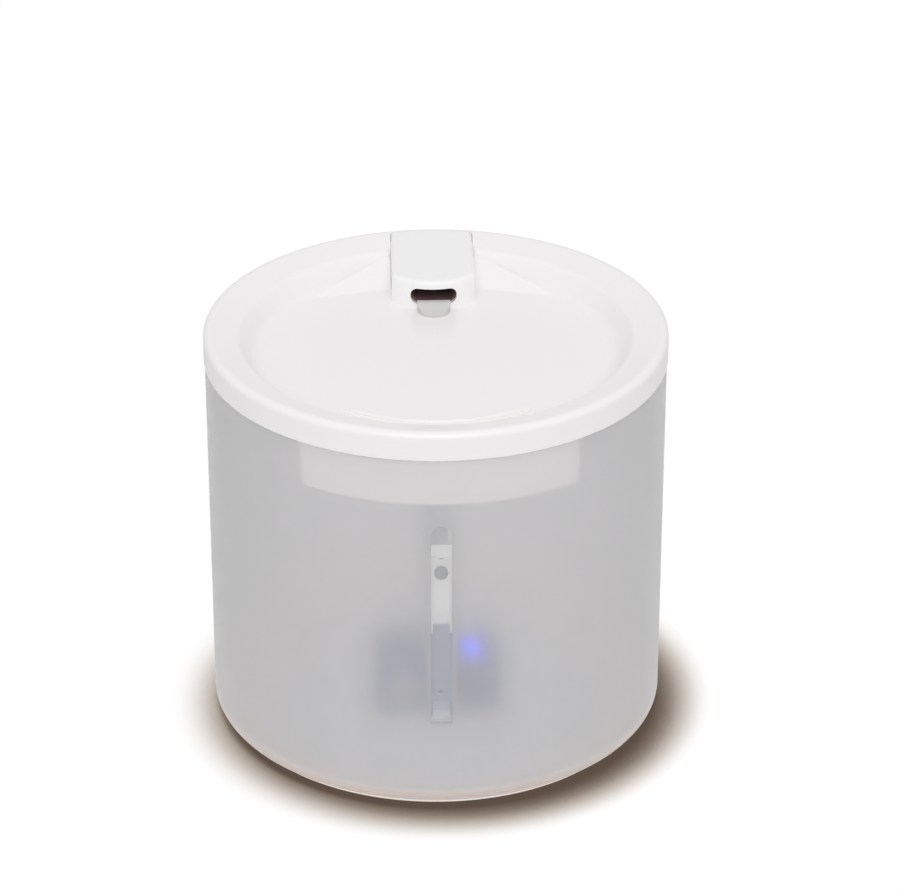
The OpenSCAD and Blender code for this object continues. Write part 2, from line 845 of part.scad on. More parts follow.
// Two clips on the tank's back wall, each with a round eye for the lead
module lead_clips()
    color([0.88, 0.9, 0.92, 0.8])
    for (share = clip_heights, z = [lead_z1 + lead_bend + lead_up * share])
        translate([0, 0, z])
            difference() {
                union() {
                    translate([0, lead_y, 0]) cylinder(r = lead_r + clip_wall, h = clip_h);
                    intersection() {
                        translate([-clip_foot / 2, lead_y + lead_r + clip_wall / 2, 0])
                            cube([clip_foot, far, clip_h]);
                        cylinder(r = tank_r(z) - tank_wall - play, h = clip_h);
                    }
                }
                translate([0, lead_y, -over]) cylinder(r = lead_r + play, h = clip_h + 2 * over);
            }

// ---- Tray and spout ----

module tray_profile()
    polygon(concat(
        [[0, dish_z]],
        round_corner([0, dish_z], [dish_r, dish_z], [brow_r, brow_z], dish_round),
        round_corner([dish_r, dish_z], [brow_r, brow_z], [crest_r, total_h], brow_round),
        [[crest_r, total_h]],
        round_corner([crest_r, total_h], [tray_r, total_h], [tray_r, skirt_z], rim_edge),
        [
            [tray_r, skirt_z],
            [skirt_in, skirt_z],
            [skirt_in, seat_z],
            [collar_in - 0.4, seat_z],
            [brow_r + tray_t, brow_z - 1.2],
            [dish_r + 0.6 * tray_t, tray_under],
            [0, tray_under]
        ]
    ));

// The weir is a crescent with a sloping inner face, in front of the drain
module weir()
    intersection() {
        difference() {
            rotate_extrude()
                polygon(concat(
                    [[0, dish_z - weir_root], [0, weir_z]],
                    round_corner([0, weir_z], [weir_r, weir_z], [weir_r, dish_z - weir_root], weir_edge, 4),
                    [[weir_r, dish_z - weir_root]]
                ));
            translate([0, weir_back, dish_z - weir_root])
                cylinder(r1 = weir_in + weir_back - 1, r2 = weir_in + weir_back + 1.6, h = weir_cut);
        }
        translate([-far, -far, 0]) cube([2 * far, far, far]);
    }

// A low ramp beside the spout, where the floor's edge runs straight to the block
module spout_ramp(side) {
    x0 = side * (spout_w / 2 + cover_gap);
    x1 = side * dish_r * ramp_share;
    hull() {
        for (p = [
            [x1, sqrt(dish_r * dish_r - x1 * x1), dish_z - 1],
            [x0, riser_y + ramp_back, dish_z - 1],
            [x0, riser_y + ramp_back, dish_z],
            [x0, sqrt(brow_r * brow_r - x0 * x0), dish_z - 1],
            [x0, sqrt(brow_r * brow_r - x0 * x0), brow_z - 1]
        ]) translate(p) cube(0.02, center = true);
    }
}

module block_outline(w, nose)
    intersection() {
        translate([-w / 2, 0]) square([w, far]);
        union() {
            translate([0, nose_cy]) circle(nose);
            translate([-w / 2, nose_cy]) square([w, far]);
        }
    }

module drinking_tray()
    color([0.95, 0.95, 0.95])
    difference() {
        union() {
            rotate_extrude() tray_profile();
            weir();
            for (side = [-1, 1]) spout_ramp(side);
            translate([0, riser_y, tray_under - spigot_h]) cylinder(r = spigot_r, h = spigot_h + 1);
            for (side = [-1, 1])
                rotate([0, 0, side * peg_half])
                    translate([0, -peg_r, tray_under - peg_l]) cylinder(d = peg_d, h = peg_l + 1);
        }
        intersection() {
            translate([0, 0, plate_z])
                linear_extrude(far) block_outline(spout_w + 2 * cover_gap, nose_r + cover_gap);
            translate([0, 0, plate_z]) cylinder(r = crest_r, h = far);
        }
        translate([0, 0, dish_z - gallery_t])
            sector(weir_r + 1, dish_r - 3, weir_half - 2, gallery_t + over);
        for (i = [0:drain_count - 1])
            rotate([0, 0, (i - (drain_count - 1) / 2) * drain_pitch])
                translate([0, 0, tray_under - over])
                    sector(drain_r, drain_r + drain_slot, drain_half, tray_t + 2 * over);
        translate([0, riser_y, 0]) {
            translate([0, 0, tray_under - spigot_h - over])
                cylinder(r = hose_r + gap, h = spigot_h - hose_stop + over);
            translate([0, 0, tray_under - spigot_h]) cylinder(r = hose_in, h = far);
            translate([0, 0, seal_z]) rotate_extrude() translate([hose_r + 1, 0]) circle(1, $fn = 32);
        }
    }

module riser_seal()
    color([0.5, 0.52, 0.55])
    translate([0, riser_y, seal_z])
        rotate_extrude() translate([hose_r + 0.95 + play, 0]) circle(0.95, $fn = 32);

// The channel turns the water from the hose towards the slot
module spout_nozzle()
    color([0.08, 0.07, 0.07])
    difference() {
        top = plate_z - gap - dish_z;
        translate([0, 0, dish_z])
            intersection() {
                linear_extrude(top)
                    block_outline(spout_w - 2 * (cover_wall + gap), nose_r - cover_wall - gap);
                translate([-far / 2, 0, 0]) cube([far, nozzle_end, far]);
            }
        translate([0, riser_y, dish_z - over]) cylinder(r = hose_in, h = over + slot_sill + slot_h / 2);
        slab(0, riser_y + 2)
            translate([0, slot_z]) rounded(slot_w - 1.4, slot_h - 1, slot_round - 0.5);
    }

// Block with a rounded top edge: a prism across the spout and a turned nose, cut to each other
module cover_block() {
    half = spout_w / 2;
    prism = concat(
        [[-half, dish_z]],
        round_corner([-half, dish_z], [-half, total_h], [half, total_h], cover_edge, 4),
        round_corner([-half, total_h], [half, total_h], [half, dish_z], cover_edge, 4),
        [[half, dish_z]]
    );
    turned = concat(
        [[0, dish_z], [0, total_h]],
        round_corner([0, total_h], [nose_r, total_h], [nose_r, dish_z], cover_edge, 4),
        [[nose_r, dish_z]]
    );
    intersection() {
        slab(0, crest_r) polygon(prism);
        union() {
            translate([0, nose_cy, 0]) rotate_extrude() polygon(turned);
            translate([-far / 2, nose_cy, 0]) cube([far, far, far]);
        }
        cylinder(r = crest_r - cover_gap, h = far);
    }
}

// The room over the dish, kept a gap away from its wall, and the recess in the rim
module over_dish()
    rotate_extrude()
        polygon([
            [0, dish_z],
            [dish_r - cover_gap - 6, dish_z],
            [dish_r - cover_gap, dish_z + 2],
            [brow_r - cover_gap - 1, brow_z + 0.2],
            [brow_r - cover_gap, plate_z],
            [tray_r, plate_z],
            [tray_r, far],
            [0, far]
        ]);

module spout_cover()
    color([0.93, 0.93, 0.93])
    difference() {
        intersection() {
            cover_block();
            over_dish();
        }
        translate([0, 0, dish_z - over])
            linear_extrude(plate_z - dish_z + over)
                block_outline(spout_w - 2 * cover_wall, nose_r - cover_wall);
        slab(0, nose_cy)
            translate([0, slot_z]) rounded(slot_w, slot_h, slot_round);
    }

// A soft tongue that laps over the slot's sill and leads the water down to the dish
module spout_lip()
    color([0.88, 0.88, 0.88, 0.7])
    intersection() {
        difference() {
            rotate([90, 0, 90]) translate([0, 0, -lip_w / 2]) linear_extrude(lip_w)
                polygon([
                    [nose_y + lip_lap, sill_z],
                    [nose_y + lip_lap, sill_z + lip_t],
                    [nose_y + lip_t / 2, sill_z + lip_t + 1.2],
                    [nose_y - 2 * lip_t, sill_z + lip_t + 1.1],
                    [nose_y - lip_reach + 1, dish_z + lip_t + 0.3],
                    [nose_y - lip_reach, dish_z + lip_t - 0.2],
                    [nose_y - lip_reach, dish_z],
                    [nose_y + lip_lap, dish_z]
                ]);
            translate([0, nose_cy, 0]) cylinder(r = nose_r, h = sill_z);
        }
        translate([0, nose_y + lip_w / 2 - lip_reach, 0]) {
            cylinder(d = lip_w, h = far);
            translate([-lip_w / 2, 0, 0]) cube([lip_w, far, far]);
        }
    }

// ---- Filter ----

module basket_bosses(r, z0, z1)
    for (side = [-1, 1])
        rotate([0, 0, side * peg_half]) translate([0, -peg_r, z0]) cylinder(r = r, h = z1 - z0);

// The outer wall rises behind the tray's brow
module basket_profile()
    polygon([
        [basket_in, basket_z],
        [basket_r, basket_z],
        [basket_r, tray_under + basket_rise],
        [basket_r - basket_wall + 0.2, tray_under + basket_rise],
        [basket_r - basket_wall + 0.2, tray_under],
        [basket_in, tray_under]
    ]);

module filter_basket()
    color([0.9, 0.91, 0.92])
    difference() {
        union() {
            difference() {
                rotate([0, 0, -90 - basket_half]) rotate_extrude(angle = 2 * basket_half) basket_profile();
                translate([0, 0, basket_z + basket_wall])
                    sector(basket_in + basket_wall, basket_r - basket_wall, basket_half - 2, far);
            }
            basket_bosses(peg_d / 2 + basket_wall, basket_z + basket_wall / 2, tray_under);
        }
        for (a = [-basket_slots:basket_slots])
            rotate([0, 0, a * (cassette_half - slot_margin) / basket_slots])
                translate([0, 0, basket_z - over])
                    sector(filling_in + 1.5, filling_r - 1.5, basket_slot_half, basket_wall + 2 * over);
        basket_bosses(peg_d / 2 + play, tray_under - peg_l - gap, tray_under + over);
    }

module filter_cassette()
    color([0.95, 0.95, 0.95])
    translate([0, 0, cassette_z])
        difference() {
            sector(cassette_in, cassette_r, cassette_half, cassette_h);
            translate([0, 0, cassette_wall]) sector(filling_in, filling_r, filling_half + 0.4, far);
            for (a = [-cassette_slots:cassette_slots])
                rotate([0, 0, a * (cassette_half - slot_margin) / cassette_slots]) translate([0, 0, -over])
                    sector(filling_in + 2.5, filling_r - 2.5, cassette_slot_half, cassette_wall + 2 * over);
        }

module carbon_pack()
    color([0.12, 0.12, 0.13])
    translate([0, 0, cassette_z + cassette_wall])
        sector(filling_in + gap, filling_r - gap, filling_half, carbon_t);

module filter_pad()
    color([0.97, 0.97, 0.97])
    translate([0, 0, cassette_z + cassette_wall + carbon_t + gap])
        sector(filling_in + gap, filling_r - gap, filling_half, pad_t);

tank();
foot_ring();
level_window();
float_guide();
guide_stop();
level_float();
inlet_socket();
inlet_pin();
inlet_seal();
inlet_nut();
pump_base();
suction_cups();
pump_housing();
pump_back_plate();
stator_core();
motor_coil();
led_board();
led_lens();
volute_cover();
shaft_bushes();
impeller_shaft();
impeller();
rotor_magnet();
strainer();
prefilter_sponge();
flow_dial();
dial_clip();
pump_lead();
lead_grommet();
lead_clips();
riser_tube();
drinking_tray();
riser_seal();
spout_nozzle();
spout_cover();
spout_lip();
filter_basket();
filter_cassette();
filter_pad();
carbon_pack();
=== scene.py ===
"""Looks of a round pet water fountain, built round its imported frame.

The frame holds every rigid piece at its real place and size. This script gives each of them its finish,
models the soft pieces of the filter and the pump, and sets up a plain studio. Everything is in metres unless
a name ends in _mm, with +Z up, the front at -Y and the spout at +Y.
"""

import logging
import math
from dataclasses import dataclass, field
from enum import Enum

import bmesh
import bpy
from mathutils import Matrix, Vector, noise


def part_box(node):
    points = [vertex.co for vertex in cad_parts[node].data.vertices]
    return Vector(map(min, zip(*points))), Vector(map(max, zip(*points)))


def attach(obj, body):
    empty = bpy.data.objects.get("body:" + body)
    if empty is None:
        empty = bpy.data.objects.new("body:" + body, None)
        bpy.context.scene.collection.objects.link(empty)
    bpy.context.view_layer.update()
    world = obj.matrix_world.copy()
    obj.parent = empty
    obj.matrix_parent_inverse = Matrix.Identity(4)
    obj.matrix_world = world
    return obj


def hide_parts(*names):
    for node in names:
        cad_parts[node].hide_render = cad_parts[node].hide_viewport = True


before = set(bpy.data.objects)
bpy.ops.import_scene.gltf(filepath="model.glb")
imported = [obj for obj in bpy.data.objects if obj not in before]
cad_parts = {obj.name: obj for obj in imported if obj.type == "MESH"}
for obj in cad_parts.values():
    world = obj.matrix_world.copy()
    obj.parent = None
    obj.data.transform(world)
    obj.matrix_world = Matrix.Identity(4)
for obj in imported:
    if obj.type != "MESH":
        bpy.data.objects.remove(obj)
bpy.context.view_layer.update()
MM = 0.001
WHITE = "ffffff"
log = logging.getLogger("fountain")

# The sRGB standard's transfer curve
SRGB_KNEE = 0.04045
SRGB_SLOPE = 12.92
SRGB_OFFSET = 0.055
SRGB_POWER = 2.4

# Sockets by index, for nodes that give several sockets one name
MIX_SHARE, MIX_FIRST, MIX_SECOND, MIX_RESULT = 0, 6, 7, 2
SHADER_FIRST, SHADER_SECOND = 1, 2
MATH_VALUE, MATH_FACTOR, MATH_ADDED = 0, 1, 2

# Proportions of the grains. Widths and lengths are counted in grains
NOISE_ROUGHNESS = 0.55
FLOW_WIDTH = 14.0
WAVE_WIDTH = 30.0
WAVE_FINE_SHARE = 0.06
FIBRE_LENGTH = 5.0
FIBRE_DETAIL = 4.0
FIBRE_TANGLE = 1.5
BAND_WOBBLE = 0.2
# Blender's bands repeat every 0.314 units at a scale of 1
BAND_REPEAT = 0.314

# Red light goes a little deeper into silicone than green and blue
SCATTER_BY_COLOUR = (1.0, 0.9, 0.8)
COAT_ROUGHNESS = 0.05


class Grain(Enum):
    """Kinds of surface detail that a finish can have."""

    FLOW_MARKS = "flow marks"
    SPARK_ERODED = "spark eroded"
    POLISHED_MOULD = "polished mould"
    LAMINATED = "laminated"
    WOUND = "wound"
    OPEN_CELL = "open cell"
    NEEDLED = "needled"
    GRANULAR = "granular"


def linear(hex_colour: str) -> tuple[float, float, float, float]:
    """Turns an sRGB hex colour into linear RGBA.

    Args:
        hex_colour: Six hex digits, such as "f2f0ef".

    Returns:
        Linear red, green, blue and an alpha of 1.
    """
    channels = [int(hex_colour[i : i + 2], 16) / 255 for i in (0, 2, 4)]
    red, green, blue = (
        c / SRGB_SLOPE if c <= SRGB_KNEE else ((c + SRGB_OFFSET) / (1 + SRGB_OFFSET)) ** SRGB_POWER
        for c in channels
    )
    return (red, green, blue, 1.0)


def add_node(
    tree: bpy.types.NodeTree,
    kind: str,
    settings: dict[str, object] | None = None,
    values: dict[str | int, object] | None = None,
    links: dict[str | int, bpy.types.NodeSocket] | None = None,
) -> bpy.types.Node:
    """Adds one shader node with its settings, socket values and links.

    Args:
        tree: Node tree that gets the node.
        kind: Blender's name for the node's type.
        settings: Properties of the node, by name.
        values: Values of its input sockets, by socket name or index.
        links: Output sockets to link from, by the input socket's name or index.

    Returns:
        The new node.
    """
    made = tree.nodes.new(kind)
    for name, value in (settings or {}).items():
        setattr(made, name, value)
    for socket, value in (values or {}).items():
        made.inputs[socket].default_value = value
    for socket, source in (links or {}).items():
        tree.links.new(source, made.inputs[socket])
    return made


def blank_material(name: str) -> bpy.types.Material:
    """Makes a material whose node tree is still empty.

    Args:
        name: The material's name.

    Returns:
        The material.
    """
    made = bpy.data.materials.new(name)
    made.use_nodes = True
    made.node_tree.nodes.clear()
    return made


@dataclass(frozen=True)
class TintBelowLine:
    """A tint on an upright piece, below a given height, with a soft edge."""

    colour: str
    z_mm: float
    edge_mm: float = 1.5


@dataclass(frozen=True)
class Finish:
    """A material of the fountain: its colour, how it takes light and the grain of its surface.

    A second colour lies in the grain's high places. A finish has that or a tint below a line, not both.
    """

    name: str
    colour: str
    roughness: float
    grain: Grain = Grain.FLOW_MARKS
    grain_mm: float = 1.0
    grain_depth_mm: float = 0.01
    second_colour: str | None = None
    tint_below_line: TintBelowLine | None = None
    metallic: float = 0.0
    ior: float = 1.5
    transmission: float = 0.0
    subsurface: float = 0.0
    subsurface_mm: float = 1.0
    sheen: float = 0.0
    coat: float = 0.0
    glow: str | None = None
    glow_strength: float = 0.0

    def material(self) -> bpy.types.Material:
        """Builds the Blender material, once for each finish.

        Returns:
            The material with its node tree.
        """
        made = bpy.data.materials.get(self.name)
        if made is not None:
            return made
        made = blank_material(self.name)
        tree = made.node_tree
        shader = add_node(
            tree,
            "ShaderNodeBsdfPrincipled",
            values={
                "Base Color": linear(self.colour),
                "Roughness": self.roughness,
                "Metallic": self.metallic,
                "IOR": self.ior,
                "Transmission Weight": self.transmission,
                "Subsurface Weight": self.subsurface,
                "Subsurface Scale": self.subsurface_mm * MM,
                "Subsurface Radius": SCATTER_BY_COLOUR,
                "Sheen Weight": self.sheen,
                "Coat Weight": self.coat,
                "Coat Roughness": COAT_ROUGHNESS,
            },
        )
        if self.glow:
            shader.inputs["Emission Color"].default_value = linear(self.glow)
            shader.inputs["Emission Strength"].default_value = self.glow_strength
        add_node(tree, "ShaderNodeOutputMaterial", links={"Surface": shader.outputs["BSDF"]})
        self.dress(tree, shader)
        return made

    def dress(self, tree: bpy.types.NodeTree, shader: bpy.types.Node) -> None:
        """Adds the grain's height, and the second colour or the tint below a line, to the shader.

        Args:
            tree: The material's node tree.
            shader: Its Principled shader.
        """
        height = GRAINS[self.grain](self, tree)
        bump = add_node(
            tree,
            "ShaderNodeBump",
            values={"Strength": 1.0, "Distance": self.grain_depth_mm * MM},
            links={"Height": height},
        )
        tree.links.new(bump.outputs["Normal"], shader.inputs["Normal"])
        if self.second_colour:
            self.blend(tree, shader, self.second_colour, height)
        elif self.tint_below_line:
            self.blend(tree, shader, self.tint_below_line.colour, self.below_line(tree, self.tint_below_line))

    def blend(
        self, tree: bpy.types.NodeTree, shader: bpy.types.Node, colour: str, share: bpy.types.NodeSocket
    ) -> None:
        """Blends another colour into the base colour.

        Args:
            tree: The material's node tree.
            shader: Its Principled shader.
            colour: The other colour, as sRGB hex digits.
            share: How much of the other colour shows, from 0 to 1.
        """
        mix = add_node(
            tree,
            "ShaderNodeMix",
            settings={"data_type": "RGBA"},
            values={MIX_FIRST: linear(self.colour), MIX_SECOND: linear(colour)},
            links={MIX_SHARE: share},
        )
        tree.links.new(mix.outputs[MIX_RESULT], shader.inputs["Base Color"])

    def place(self, tree: bpy.types.NodeTree) -> bpy.types.NodeSocket:
        """Adds the piece's own coordinates, in metres."""
        return add_node(tree, "ShaderNodeTexCoord").outputs["Object"]

    def below_line(self, tree: bpy.types.NodeTree, mark: TintBelowLine) -> bpy.types.NodeSocket:
        """Adds a value that is 1 below the mark's height and 0 above it.

        Args:
            tree: The material's node tree.
            mark: The tint below a line.

        Returns:
            The value's output.
        """
        height = add_node(tree, "ShaderNodeSeparateXYZ", links={"Vector": self.place(tree)}).outputs["Z"]
        line, half = mark.z_mm * MM, mark.edge_mm * MM / 2
        share = add_node(
            tree,
            "ShaderNodeMapRange",
            settings={"interpolation_type": "SMOOTHSTEP"},
            values={"From Min": line - half, "From Max": line + half, "To Min": 1.0, "To Max": 0.0},
            links={"Value": height},
        )
        return share.outputs["Result"]

    def noise(self, tree: bpy.types.NodeTree, size_mm: float, detail: float) -> bpy.types.NodeSocket:
        """Adds a noise whose lumps are size_mm across.

        Args:
            tree: The material's node tree.
            size_mm: Width of one lump.
            detail: How many finer octaves it has.

        Returns:
            The noise's factor output.
        """
        made = add_node(
            tree,
            "ShaderNodeTexNoise",
            values={"Scale": 1 / (size_mm * MM), "Detail": detail, "Roughness": NOISE_ROUGHNESS},
            links={"Vector": self.place(tree)},
        )
        return made.outputs[0]

    def flow_marks(self, tree: bpy.types.NodeTree) -> bpy.types.NodeSocket:
        """The slow waviness of any smooth moulding."""
        return self.noise(tree, FLOW_WIDTH * self.grain_mm, detail=1.0)

    def spark_eroded(self, tree: bpy.types.NodeTree) -> bpy.types.NodeSocket:
        """The even fine pits that a spark-eroded mould leaves on plastic."""
        return self.noise(tree, self.grain_mm, detail=3.0)

    def polished_mould(self, tree: bpy.types.NodeTree) -> bpy.types.NodeSocket:
        """Adds long waves with a trace of fine grain on them.

        Args:
            tree: The material's node tree.

        Returns:
            The height's output.
        """
        wave = self.noise(tree, WAVE_WIDTH * self.grain_mm, detail=1.0)
        fine = self.noise(tree, self.grain_mm, detail=2.0)
        both = add_node(
            tree,
            "ShaderNodeMath",
            settings={"operation": "MULTIPLY_ADD"},
            values={MATH_FACTOR: WAVE_FINE_SHARE},
            links={MATH_VALUE: fine, MATH_ADDED: wave},
        )
        return both.outputs[0]

    def bands(self, tree: bpy.types.NodeTree, direction: str) -> bpy.types.NodeSocket:
        """Adds bands grain_mm wide.

        Args:
            tree: The material's node tree.
            direction: Axis that the bands lie across: "X", "Y" or "Z".

        Returns:
            The bands' factor output.
        """
        made = add_node(
            tree,
            "ShaderNodeTexWave",
            settings={"wave_type": "BANDS", "bands_direction": direction},
            values={"Scale": BAND_REPEAT / (self.grain_mm * MM), "Distortion": BAND_WOBBLE},
            links={"Vector": self.place(tree)},
        )
        return made.outputs[1]

    def laminated(self, tree: bpy.types.NodeTree) -> bpy.types.NodeSocket:
        """The edges of stacked steel sheets, which lie across Y."""
        return self.bands(tree, "Y")

    def wound(self, tree: bpy.types.NodeTree) -> bpy.types.NodeSocket:
        """Turns of wire round an upright bobbin."""
        return self.bands(tree, "Z")

    def cells(self, tree: bpy.types.NodeTree, feature: str) -> bpy.types.NodeSocket:
        """Adds a cell pattern whose cells are grain_mm across.

        Args:
            tree: The material's node tree.
            feature: What the pattern measures, by Blender's name.

        Returns:
            The pattern's distance output, in cells.
        """
        made = add_node(
            tree,
            "ShaderNodeTexVoronoi",
            settings={"feature": feature},
            values={"Scale": 1 / (self.grain_mm * MM)},
            links={"Vector": self.place(tree)},
        )
        return made.outputs["Distance"]

    def open_cell(self, tree: bpy.types.NodeTree) -> bpy.types.NodeSocket:
        """Round pores with thin walls between them."""
        return self.cells(tree, "DISTANCE_TO_EDGE")

    def granular(self, tree: bpy.types.NodeTree) -> bpy.types.NodeSocket:
        """Rounded lumps that lie side by side."""
        return self.cells(tree, "F1")

    def needled(self, tree: bpy.types.NodeTree) -> bpy.types.NodeSocket:
        """Adds short tangled fibres, drawn as stretched noise.

        Args:
            tree: The material's node tree.

        Returns:
            The fibres' factor output.
        """
        mapping = add_node(
            tree,
            "ShaderNodeMapping",
            values={"Scale": (1.0, FIBRE_LENGTH, FIBRE_LENGTH)},
            links={"Vector": self.place(tree)},
        )
        made = add_node(
            tree,
            "ShaderNodeTexNoise",
            values={
                "Scale": 1 / (FIBRE_LENGTH * self.grain_mm * MM),
                "Detail": FIBRE_DETAIL,
                "Distortion": FIBRE_TANGLE,
            },
            links={"Vector": mapping.outputs["Vector"]},
        )
        return made.outputs[0]


GRAINS = {
    Grain.FLOW_MARKS: Finish.flow_marks,
    Grain.SPARK_ERODED: Finish.spark_eroded,
    Grain.POLISHED_MOULD: Finish.polished_mould,
    Grain.LAMINATED: Finish.laminated,
    Grain.WOUND: Finish.wound,
    Grain.OPEN_CELL: Finish.open_cell,
    Grain.GRANULAR: Finish.granular,
    Grain.NEEDLED: Finish.needled,
}

# Real mould pits are under 0.1 mm wide, wadding's fibres 0.02 mm and the coil's wire 0.2 mm. All are drawn as
# coarse as they need to be to show: pits 0.3 to 0.8 mm, fibres and wire 0.35 mm.
# Only the lamp gives light of its own. Any other glow stands in for light that finds its way to a piece inside
# or under the tank.

# Polypropylene from a blasted mould: milky, it scatters what lies behind it and shows near things sharper
FROSTED_POLYPROPYLENE = Finish(
    "frosted_polypropylene",
    "fbfafb",
    0.26,
    Grain.SPARK_ERODED,
    0.5,
    0.004,
    transmission=0.7,
    sheen=0.2,
    ior=1.45,
)
# ABS from a polished mould: white, a soft gloss with the faint waves of the moulding
WHITE_ABS = Finish("white_abs", "faf8f8", 0.3, Grain.POLISHED_MOULD, 0.8, 0.05, ior=1.54)
# The cover is the same plastic from a slightly duller mould
WHITE_ABS_SATIN = Finish("white_abs_satin", "fcfbfb", 0.38, Grain.POLISHED_MOULD, 0.8, 0.05, ior=1.54)
# SAN from a polished mould: clear, with the haze of a thick moulding
CLEAR_SAN = Finish("clear_san", WHITE, 0.1, transmission=0.75, grain_depth_mm=0.004, ior=1.4)
# SAN from an eroded mould: milky, bluer and darker below a line at 78 mm, with a faint painted glow that
# stands in for light reaching it inside the tank
MILKY_SAN = Finish(
    "milky_san",
    WHITE,
    0.4,
    Grain.SPARK_ERODED,
    0.4,
    0.004,
    tint_below_line=TintBelowLine("6f8abb", 78.0),
    transmission=0.35,
    glow=WHITE,
    glow_strength=0.1,
    ior=1.4,
)
# Undyed polypropylene, injection moulded: half clear where it is thin
NATURAL_PP = Finish(
    "natural_polypropylene", "eef1f3", 0.3, Grain.SPARK_ERODED, 0.4, 0.004, transmission=0.5
)
# White polypropylene, injection moulded thin: a painted glow stands in for the daylight that reaches it from
# the tray above
LIT_WHITE_PP = Finish(
    "white_polypropylene_painted_glow",
    "d2d2d2",
    0.42,
    Grain.SPARK_ERODED,
    0.4,
    0.006,
    glow="fff9f7",
    glow_strength=0.39,
)
# White polypropylene, injection moulded: the stop in the guide's foot has a faint painted glow that stands in
# for the light behind the window
STOP_PP = Finish(
    "stop_polypropylene",
    "e6e9f1",
    0.4,
    Grain.SPARK_ERODED,
    0.4,
    0.006,
    glow=WHITE,
    glow_strength=0.05,
)
# ABS from an eroded mould: a dull black
BLACK_ABS = Finish("black_abs", "1b1716", 0.42, Grain.SPARK_ERODED, 0.3, 0.008)
# The same in a brown-black, painted lighter to stand in for the daylight in the spout's slot, so that the slot
# isn't a black hole
BROWN_BLACK_ABS_PAINTED_LIGHT = Finish("brown_black_abs_painted_light", "7a615f", 0.5, Grain.SPARK_ERODED, 0.3, 0.008)
# ABS from an eroded mould: dull blue, which the frosted wall turns to a bluish grey
PUMP_ABS = Finish("pump_abs", "4769b4", 0.5, Grain.SPARK_ERODED, 0.3, 0.01)
# The volute's cover and the strainer are a shade lighter
PUMP_ABS_LIGHT = Finish("pump_abs_light", "5476bb", 0.5, Grain.SPARK_ERODED, 0.3, 0.01)
# ABS from an eroded mould: pale grey, so that the dial stands out on the strainer
DIAL_ABS = Finish("dial_abs", "c9ccd2", 0.42, Grain.SPARK_ERODED, 0.3, 0.008)
# Acetal, injection moulded: an ivory white with a slippery gloss
IMPELLER_ACETAL = Finish("impeller_acetal", "e6e4dc", 0.35, Grain.SPARK_ERODED, 0.3, 0.004)
# Thermoplastic elastomer, moulded in an eroded mould: dull tan, painted paler and with a painted glow, both
# standing in for light from the pale floor under it
TAN_TPE = Finish("tan_tpe", "f4e8de", 0.7, Grain.SPARK_ERODED, 0.6, 0.02, glow="ffe9dc", glow_strength=0.2)
# Nitrile rubber, moulded: dull and nearly black
BLACK_RUBBER = Finish("black_rubber", "232323", 0.6, Grain.SPARK_ERODED, 0.4, 0.015)
# Polypropylene, injection moulded: a mid grey that shows dark against the guide
FLOAT_GREY_PP = Finish("float_polypropylene_grey", "8a8d95", 0.4, Grain.SPARK_ERODED, 0.3, 0.006)
# Silicone, moulded: a waxy skin that light enters a little way
SILICONE = Finish("silicone", "e4e8eb", 0.38, transmission=0.35, subsurface=0.4, subsurface_mm=2.0)
# The lip is thinner and glossier, and lets some of the slot's dark through
LIP_SILICONE = Finish("lip_silicone", "fdfbfa", 0.22, transmission=0.18, grain_depth_mm=0.02, grain_mm=0.3)
# Silicone, extruded: the hose is milkier, with a painted blue glow that stands in for some of the lamp's light
# in it
HOSE_SILICONE = Finish(
    "hose_silicone", "f2f5fb", 0.38, transmission=0.2, glow="b9c6ff", glow_strength=0.3
)
# PVC, extruded: a smooth pale sheath
PVC_SHEATH = Finish("pvc_sheath", "e6e6e4", 0.45)
# Brass, turned and nickel-plated: a warm bright metal
NICKEL_BRASS = Finish("nickel_brass", "d9c9a0", 0.22, metallic=1.0, grain_depth_mm=0.003)
# Silicon steel, stamped and stacked: the edges of its 0.5 mm sheets show
CORE_STEEL = Finish("laminated_core_steel", "9a9da1", 0.4, Grain.LAMINATED, 0.5, 0.03, metallic=1.0)
# Copper wire, enamelled and wound: brown turns under a clear coat, with painted shade darker between them
ENAMELLED_COPPER = Finish(
    "enamelled_copper",
    "b5602d",
    0.3,
    Grain.WOUND,
    0.35,
    0.08,
    second_colour="7c3a18",
    metallic=0.9,
    coat=0.6,
)
# Glass laminate under a printed solder mask: mottled green
CIRCUIT_BOARD = Finish(
    "solder_mask_board", "17502f", 0.35, Grain.SPARK_ERODED, 0.8, 0.01, second_colour="1f6b40"
)
# Epoxy, cast round a lit diode: blue light with a pale body
BLUE_LAMP = Finish("blue_lamp_epoxy", "8c92ff", 0.2, transmission=0.3, glow="2a2aff", glow_strength=4.5)
# Alumina, sintered and ground: a hard pale gloss
ALUMINA = Finish("alumina_ceramic", "f1efe8", 0.15, Grain.POLISHED_MOULD, 0.3, 0.004, ior=1.76)
# Ferrite, pressed and sintered: dull dark grey
FERRITE = Finish("ferrite_magnet", "33343a", 0.5, Grain.SPARK_ERODED, 0.3, 0.02)
# Polyether foam, burst to open cells 1.1 mm wide: dark, with painted shade darkest in its pores
FILTER_FOAM = Finish(
    "reticulated_foam", "2c3038", 0.9, Grain.OPEN_CELL, 1.1, 0.5, second_colour="0c0d10", sheen=0.2
)
# Cotton, needle-punched: an off-white fleece with shadows between its fibres
NEEDLED_COTTON = Finish(
    "needled_cotton", "f6f5f1", 0.95, Grain.NEEDLED, 0.35, 0.25, second_colour="dcdad3", sheen=0.4
)
# Coconut shell, charred and crushed: black granules 2 mm wide, with painted shade darker where the granules
# meet
COCONUT_CARBON = Finish("coconut_carbon", "2b2b2d", 0.55, Grain.GRANULAR, 2.0, 0.5, second_colour="0b0b0c")


